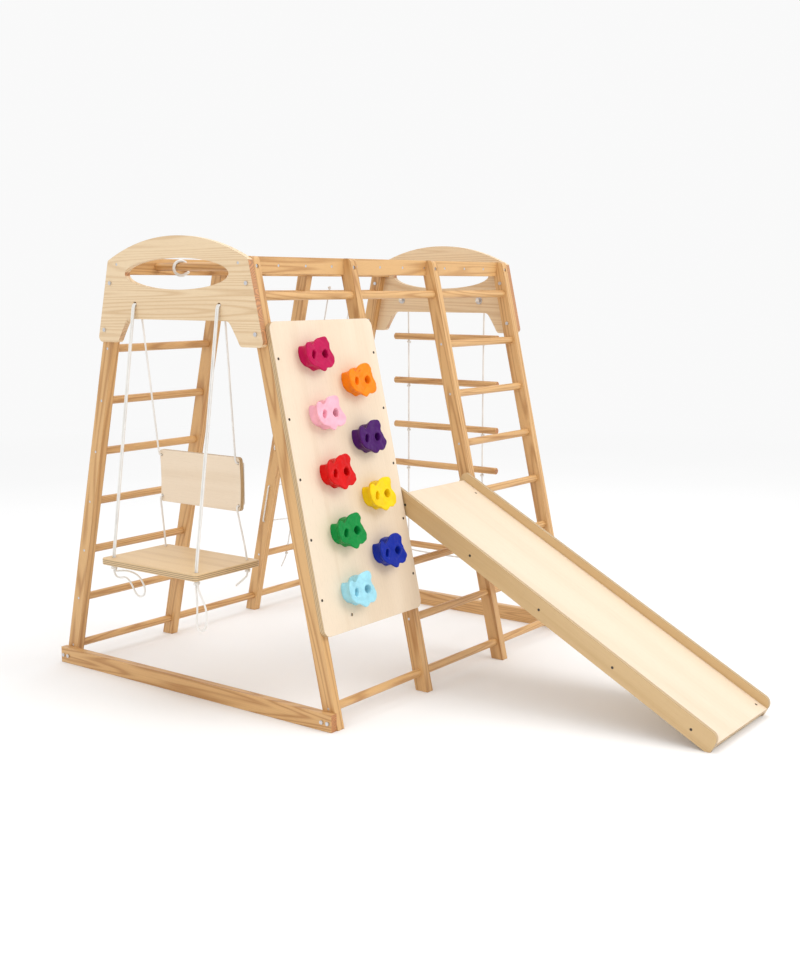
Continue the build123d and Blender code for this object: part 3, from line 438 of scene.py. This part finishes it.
def hold_rings():
    """The hold's closed skin before its lumps: a fan, rings of quads and a flat foot."""
    width, height, depth = HOLD_SIZE
    mesh = bmesh.new()
    middle = mesh.verts.new((0, 0, depth))
    rows = []
    for ring in range(1, HOLD_RINGS + 1):
        out, up = hold_profile(ring / HOLD_RINGS)
        row = []
        for turn in range(HOLD_TURNS):
            edge = outline_point(turn / HOLD_TURNS)
            row.append(mesh.verts.new((edge.x * width / 2 * out, edge.y * height / 2 * out, up * depth)))
        rows.append(row)
    for turn in range(HOLD_TURNS):
        mesh.faces.new((middle, rows[0][turn], rows[0][(turn + 1) % HOLD_TURNS]))
    for inner, outer in zip(rows, rows[1:]):
        for turn in range(HOLD_TURNS):
            after = (turn + 1) % HOLD_TURNS
            mesh.faces.new((inner[turn], outer[turn], outer[after], inner[after]))
    mesh.faces.new(reversed(rows[-1]))
    return mesh


def hold_mesh(name, seed):
    """A lumpy moulded hold with a round bolt pocket and a slanted slot, on its own flat foot."""
    width, height, depth = HOLD_SIZE
    mesh = hold_rings()
    for vert in mesh.verts:
        x, y, z = vert.co
        if z < 0.0005:
            continue
        lift = smooth_step(0.0, 0.015, z)
        broad = noise.noise(Vector((x * BROAD_LUMPS + seed, y * BROAD_LUMPS, z * BROAD_LUMPS)))
        fine = noise.noise(Vector((x * FINE_LUMPS - seed, y * FINE_LUMPS, z * FINE_LUMPS)))
        lump = (broad * 0.0034 + fine * 0.0016) * lift
        if z > depth * 0.8:
            far = math.hypot(x / (width / 2), y / (height / 2))
            dish = 0.0022 * (far - 0.6)
            vert.co.z += lump + dish - pocket_depth(x, y) - 0.0012
            vert.co.z = min(vert.co.z, depth + 0.002)
        flank = Vector((x, y))
        if flank.length > 0.03:
            vert.co.x += flank.normalized().x * lump * 0.8
            vert.co.y += flank.normalized().y * lump * 0.8
    data = bpy.data.meshes.new(name)
    mesh.to_mesh(data)
    mesh.free()
    data.shade_smooth()
    return data


def place_holds():
    """Nine holds up the board, left and right in turn, each in its own colour."""
    up = Vector((0, math.sin(LEAN), math.cos(LEAN)))
    out = Vector(BOARD_OUT)
    for row, (colour_name, colour) in enumerate(HOLD_COLOURS.items()):
        column = -HOLD_COLUMN if row % 2 == 0 else HOLD_COLUMN
        along = HOLD_FIRST + row * HOLD_PITCH
        origin = Vector((BOARD_CENTRE_X + column + HOLD_CENTRE.x, -FOOT_HALF, 0))
        origin += up * (along + HOLD_CENTRE.y) + out * BOARD_THICKNESS
        data = hold_mesh(f"{colour_name}_hold_mesh", row * 3.1)
        hold = bpy.data.objects.new(f"{colour_name}_climbing_hold", data)
        bpy.context.scene.collection.objects.link(hold)
        turn = Matrix(((1, up.x, out.x), (0, up.y, out.y), (0, up.z, out.z))).to_4x4()
        hold.data.transform(Matrix.Translation(origin) @ turn)
        hold.data.materials.append(plastic(f"{colour_name}_plastic", colour))
        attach(hold, "root")
        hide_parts(f"{colour_name}_hold")


place_holds()

# ---------------------------------------------------------------- ropes
white_rope = cordage("white_rope")
net_rope_material = cordage("net_rope", (0.80, 0.79, 0.76))


def route_line(points):
    """Evenly spaced points read from the smooth spline through a route's control points."""
    curve = bpy.data.curves.new("route", "CURVE")
    curve.dimensions = "3D"
    spline = curve.splines.new("NURBS")
    spline.points.add(len(points) - 1)
    for control, place in zip(spline.points, points):
        control.co = (*place, 1.0)
    spline.order_u = 3
    spline.use_endpoint_u = True
    spline.resolution_u = 16
    carrier = bpy.data.objects.new("route", curve)
    bpy.context.scene.collection.objects.link(carrier)
    bpy.context.view_layer.update()
    line = bpy.data.meshes.new_from_object(carrier)
    places = [vert.co.copy() for vert in line.vertices]
    bpy.data.objects.remove(carrier)
    bpy.data.curves.remove(curve)
    bpy.data.meshes.remove(line)
    return places


def even_points(places, step):
    """The same line, with points at even distances."""
    made = [places[0]]
    left = step
    for start, end in zip(places, places[1:]):
        length = (end - start).length
        if length < 1e-7:
            continue
        travelled = 0.0
        while length - travelled >= left:
            travelled += left
            made.append(start.lerp(end, travelled / length))
            left = step
        left -= length - travelled
    if (made[-1] - places[-1]).length > step * 0.3:
        made.append(places[-1])
    return made


STRANDS = 3
ROPE_SIDES = 15
ROPE_STEP = 0.0016


def twisted_tube(name, line, diameter, material, lay=0.017):
    """A rope of twisted strands: a lobed section that turns as it goes along the line."""
    radius = diameter / 2
    mesh = bmesh.new()
    tangent = (line[1] - line[0]).normalized()
    side = tangent.orthogonal().normalized()
    rows = []
    travelled = 0.0
    for index, place in enumerate(line):
        ahead = line[min(index + 1, len(line) - 1)] - line[max(index - 1, 0)]
        ahead.normalize()
        side = (side - ahead * side.dot(ahead)).normalized()
        other = ahead.cross(side)
        if index:
            travelled += (place - line[index - 1]).length
        twist = travelled / lay * 2 * math.pi
        row = []
        for corner in range(ROPE_SIDES):
            angle = corner / ROPE_SIDES * 2 * math.pi
            lobe = abs(math.cos((angle - twist) * STRANDS / 2))
            reach = radius * (0.86 + 0.14 * lobe ** 0.7)
            row.append(mesh.verts.new(place + (side * math.cos(angle) + other * math.sin(angle)) * reach))
        rows.append(row)
    for lower, upper in zip(rows, rows[1:]):
        for corner in range(ROPE_SIDES):
            after = (corner + 1) % ROPE_SIDES
            mesh.faces.new((lower[corner], lower[after], upper[after], upper[corner]))
    mesh.faces.new(reversed(rows[0]))
    mesh.faces.new(rows[-1])
    data = bpy.data.meshes.new(name)
    mesh.to_mesh(data)
    mesh.free()
    data.shade_smooth()
    data.materials.append(material)
    piece = bpy.data.objects.new(name, data)
    bpy.context.scene.collection.objects.link(piece)
    return piece


def rope(name, route, diameter, node, material):
    """One rope from its route, standing for its frame node."""
    points = [tuple(value / 1000 for value in place) for place in route]
    line = even_points(route_line(points), ROPE_STEP)
    piece = twisted_tube(name, line, diameter, material)
    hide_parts(node)
    return piece


# Places on the ropes' routes, in millimetres.
HOLE_Y = 176
HOLE_Z = 1183
SEAT_FRONT = -121.1
SEAT_BACK = 90.1
STRAND_GAP = 3.2


def swing_route(side, loop, tail):
    """Control points of one side of the swing, in millimetres."""
    hole = side * HOLE_Y
    ya = hole - STRAND_GAP
    yb = hole + STRAND_GAP
    back = side * 163
    return [
        (28.5, ya, HOLE_Z), (0, ya, HOLE_Z), (-12, ya, HOLE_Z), (-17.2, ya, 1147),
        (-115.5, ya, 471), (SEAT_FRONT, ya, 433), (SEAT_FRONT, ya, 381),
        *[(SEAT_FRONT, y, z) for y, z in loop],
        (SEAT_FRONT, yb, 373), (SEAT_FRONT, yb, 433), (-115.5, yb, 471), (-17.2, yb, 1147),
        (-12, yb, HOLE_Z), (0, yb, HOLE_Z), (18, yb, HOLE_Z), (21.4, yb - side * 0.8, 1147),
        (58.1, back + side * 0.8, 755), (61.5, back, 719), (80, back, 719), (94, back, 719),
        (94, back, 700), (94, back, 610), (94, back, 591), (78, back, 591), (61.5, back, 591),
        (66.8, back + side * 2.4, 561), (SEAT_BACK, hole, 433), (SEAT_BACK, hole, 381),
        *tail,
    ]


FRONT_LOOP = ((-193, 356), (-213, 322), (-215, 284), (-203, 256),
              (-182, 254), (-171, 276), (-177, 312), (-175, 352))
FRONT_TAIL = [(91.1, -168, 372), (92.1, -148, 356), (92.1, -126, 339)]
REAR_LOOP = ((156, 386), (112, 391), (70, 384), (44, 356), (43, 330),
             (64, 316), (86, 326), (98, 350), (124, 372), (158, 362))
REAR_TAIL = [(93.1, 184, 370), (94.1, 188, 348), (94.1, 184, 330)]

front_rope = rope("swing_rope_front", swing_route(-1, FRONT_LOOP, FRONT_TAIL), ROPE_D,
                  "swing_rope_front_side", white_rope)
rear_rope = rope("swing_rope_rear", swing_route(1, REAR_LOOP, REAR_TAIL), ROPE_D,
                 "swing_rope_rear_side", white_rope)

LADDER_X = 1378.5
LADDER_Y = 172
LADDER_RUNGS = (1043, 873, 701, 550, 389, 228)
LADDER_HALF = [(1323.5, HOLE_Y, HOLE_Z), (1350, HOLE_Y, HOLE_Z), (1366, HOLE_Y, HOLE_Z),
               (LADDER_X, HOLE_Y, HOLE_Z),
               (LADDER_X, 175, 1162), (LADDER_X, LADDER_Y, 1067.5),
               (LADDER_X, LADDER_Y, 239), (LADDER_X, LADDER_Y, 206.5),
               (LADDER_X, 150, 201.5), (LADDER_X, 92, 200)]
ladder_points = LADDER_HALF + [(LADDER_X, 34, 199), (LADDER_X, -34, 199.5)]
ladder_points += [(x, -y, z) for x, y, z in reversed(LADDER_HALF)]
ladder_rope = rope("ladder_side_rope", ladder_points, ROPE_D, "ladder_rope", white_rope)

NET_NEAR = 878.5
NET_FAR = 1339.5
NET_COLUMNS = (1041.5, 1176.5)
NET_ROWS = [353 + 140 * row for row in range(6)]
NET_TURN_REACH = 5.5
NET_END_REACH = 12
NET_TURN_RISE = 18
COLUMN_LOW = 203
HALF_POST_DEPTH = 22.5


def post_middle(z):
    """Y of the rear posts' middle line, in millimetres."""
    return 1000 * FOOT_HALF - z * LEAN_SLOPE - HALF_POST_DEPTH


def net_row(row):
    """One row of the net from outside the near post to outside the far post."""
    z = NET_ROWS[row]
    y = post_middle(z)
    last = row in (0, len(NET_ROWS) - 1)
    reach = NET_END_REACH if last else NET_TURN_REACH
    rise = NET_TURN_RISE if row % 2 == 0 else -NET_TURN_RISE
    near_x = NET_NEAR - NET_TURN_REACH
    far_x = NET_FAR + NET_TURN_REACH
    near = [(near_x, post_middle(z + rise), z + rise)]
    far = [] if last else [(far_x, post_middle(z - rise), z - rise)]
    across = [(x, y - 6.3, z - 8) for x in NET_COLUMNS]
    return [*near, (near_x, y, z), (NET_NEAR + 4, y, z), (NET_NEAR + 34, y, z), *across,
            (NET_FAR - 34, y, z), (NET_FAR - 4, y, z), (NET_FAR + reach, y, z), *far]


net_points = []
for net_number in range(len(NET_ROWS)):
    row_points = net_row(net_number)
    if net_number % 2 == 0:
        row_points.reverse()
    net_points.extend(row_points)
net_piece = rope("net_lacing", net_points, NET_D, "net_rope", net_rope_material)
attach(net_piece, "root")

for column_node, column_x in zip(("net_column_near", "net_column_far"), NET_COLUMNS):
    low_y = post_middle(COLUMN_LOW)
    column_points = [(column_x, post_middle(z), z) for z in (1235, 1180, 240, COLUMN_LOW)]
    column_points += [(column_x - 2, low_y + 3, COLUMN_LOW - 18), (column_x - 12, low_y + 5, COLUMN_LOW - 35),
                      (column_x - 24, low_y + 7, COLUMN_LOW - 54)]
    column = rope(f"{column_node}_rope", column_points, NET_D, column_node, net_rope_material)
    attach(column, "root")

for piece, body in ((front_rope, "swing"), (rear_rope, "swing"), (ladder_rope, "rope_ladder")):
    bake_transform(piece)


# ---------------------------------------------------------------- knots
def knot_line(size, steps=150):
    """The closed line of a tight overhand knot."""
    line = []
    for step in range(steps + 1):
        t = step / steps * 2 * math.pi
        line.append(Vector((math.sin(t) + 2 * math.sin(2 * t), math.cos(t) - 2 * math.cos(2 * t),
                            -1.35 * math.sin(3 * t))) * size)
    return line


def tie_knot(name, place, axis, body, diameter, size=0.0021, turn=0.0, material=None):
    """A knot whose hole runs along an axis, at a place in millimetres."""
    centre = Vector(place) / 1000
    aim = Vector(axis).to_track_quat("Z", "Y").to_matrix() @ Matrix.Rotation(turn, 3, "Z")
    line = [centre + aim @ point for point in knot_line(size)]
    piece = twisted_tube(name, line, diameter, material or white_rope, lay=0.014)
    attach(piece, body)
    return piece


UP = (0, 0, 1)
OUT = (1, 0, 0)
STOP_D = 0.0055
STOP_SIZE = 0.0018
NET_KNOT_D = 0.0048
NET_KNOT_SIZE = 0.0016
SEAT_KNOT_Z = 393
KNOT_UNDER_RUNG = 21


def tie_hanging_knots(side, side_name):
    """The knots of one side of the swing and of the ladder, and their stops in the panels."""
    for x, place_name, size in ((SEAT_FRONT, "front", 0.0025), (SEAT_BACK, "back", 0.0021)):
        piece = tie_knot(f"seat_knot_{side_name}_{place_name}", (x, side * HOLE_Y, SEAT_KNOT_Z), UP,
                         "swing", ROPE_D, size, turn=side * 0.7)
        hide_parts("swing_knots")
    near_stop = tie_knot(f"panel_knot_near_{side_name}", (28.5, side * HOLE_Y - 5.5, HOLE_Z), OUT,
                         "root", STOP_D, STOP_SIZE, turn=0.4)
    far_stop = tie_knot(f"panel_knot_far_{side_name}", (1328.5, side * HOLE_Y, HOLE_Z), OUT,
                        "root", STOP_D, STOP_SIZE, turn=1.1)
    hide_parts("panel_knots")
    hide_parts("panel_knots")
    for number, rung_z in enumerate(LADDER_RUNGS):
        place = (LADDER_X, side * LADDER_Y, rung_z - KNOT_UNDER_RUNG)
        piece = tie_knot(f"ladder_knot_{side_name}_{number + 1}", place, UP,
                         "rope_ladder", STOP_D, STOP_SIZE, turn=number * 0.9)
        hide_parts("ladder_knots")


def tie_net_knots():
    """A knot at each crossing of the net, at the columns' ends and at the lacing's two ends."""
    for number, column_x in enumerate(NET_COLUMNS):
        crossings = [(z - 8, -3.1) for z in NET_ROWS] + [(1229, 0), (200, 0)]
        for crossing, (z, shift) in enumerate(crossings):
            piece = tie_knot(f"net_knot_{number + 1}_{crossing + 1}", (column_x, post_middle(z) + shift, z),
                             (0, -LEAN_SLOPE, 1), "root", NET_KNOT_D, NET_KNOT_SIZE,
                             turn=crossing * 1.3 + number, material=net_rope_material)
            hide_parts("net_knots")
    for z in (NET_ROWS[0], NET_ROWS[-1]):
        piece = tie_knot(f"net_end_knot_{z}", (NET_FAR + 8.5, post_middle(z), z), OUT, "root",
                         NET_KNOT_D, NET_KNOT_SIZE, material=net_rope_material)
        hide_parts("net_knots")


tie_hanging_knots(-1, "front")
tie_hanging_knots(1, "rear")
tie_net_knots()


# ---------------------------------------------------------------- stage, lights and camera
WORLD_STRENGTH = 0.95
FLOOR_FADE_START = 2.4
FLOOR_FADE_END = 7.0


def make_floor():
    """A pale flat floor that takes the surround's own white a few metres away."""
    bpy.ops.mesh.primitive_plane_add(size=60, location=(0.7, 0, -0.0005))
    floor = bpy.context.object
    floor.name = "studio_floor"
    g = Graph("studio_white")
    soft = g.noise(g.mapped(), 0.8, 2)
    near = g.mix(g.span(soft, 0.3, 0.7, 0.0, 1.0), (0.90, 0.90, 0.90), (0.88, 0.88, 0.88))
    away = g.node("ShaderNodeVectorMath", operation="LENGTH")
    g.link(g.mapped(), away.inputs[0])
    far = g.span(away.outputs["Value"], FLOOR_FADE_START, FLOOR_FADE_END, 0.0, 1.0)
    g.link(g.mix(far, near, (0.0, 0.0, 0.0)), g.shader.inputs["Base Color"])
    g.shader.inputs["Roughness"].default_value = 0.9
    g.shader.inputs["Specular IOR Level"].default_value = 0.0
    g.shader.inputs["Emission Color"].default_value = (1.0, 1.0, 1.0, 1.0)
    g.link(g.math("MULTIPLY", far, WORLD_STRENGTH), g.shader.inputs["Emission Strength"])
    floor.data.materials.append(g.material)


def area_light(name, place, aim, size, power):
    """A square white lamp at a place, turned to its aim."""
    data = bpy.data.lights.new(name, "AREA")
    data.size = size
    data.energy = power
    light = bpy.data.objects.new(name, data)
    light.location = place
    light.rotation_euler = (Vector(aim) - Vector(place)).to_track_quat("-Z", "Y").to_euler()
    bpy.context.scene.collection.objects.link(light)


def make_studio():
    """Soft light from the front right and above, a weak fill, and a white surround."""
    middle = (0.7, -0.3, 0.6)
    area_light("key", (1.6, -5.2, 4.4), middle, 3.0, 115)
    area_light("fill", (-4.4, -1.6, 2.6), middle, 3.0, 25)
    area_light("top", (0.7, 0.2, 4.8), middle, 4.0, 55)
    world = bpy.data.worlds.new("studio_world")
    world.use_nodes = True
    surround = world.node_tree.nodes["Background"]
    surround.inputs["Color"].default_value = (1, 1, 1, 1)
    surround.inputs["Strength"].default_value = WORLD_STRENGTH
    bpy.context.scene.world = world
    bpy.context.scene.view_settings.view_transform = "Standard"


CAMERA_PLACE = (-2.66615, -2.80628, 1.24031)
CAMERA_YAW = 0.929214
CAMERA_PITCH = -0.156839


def make_camera():
    """The view from the swing's end, in front of the board."""
    data = bpy.data.cameras.new("view")
    data.sensor_width = 36
    data.lens = 47.48
    camera = bpy.data.objects.new("view", data)
    camera.location = CAMERA_PLACE
    camera.rotation_euler = Euler((math.pi / 2 + CAMERA_PITCH, 0, -CAMERA_YAW))
    bpy.context.scene.collection.objects.link(camera)
    bpy.context.scene.camera = camera


make_floor()
make_studio()
make_camera()
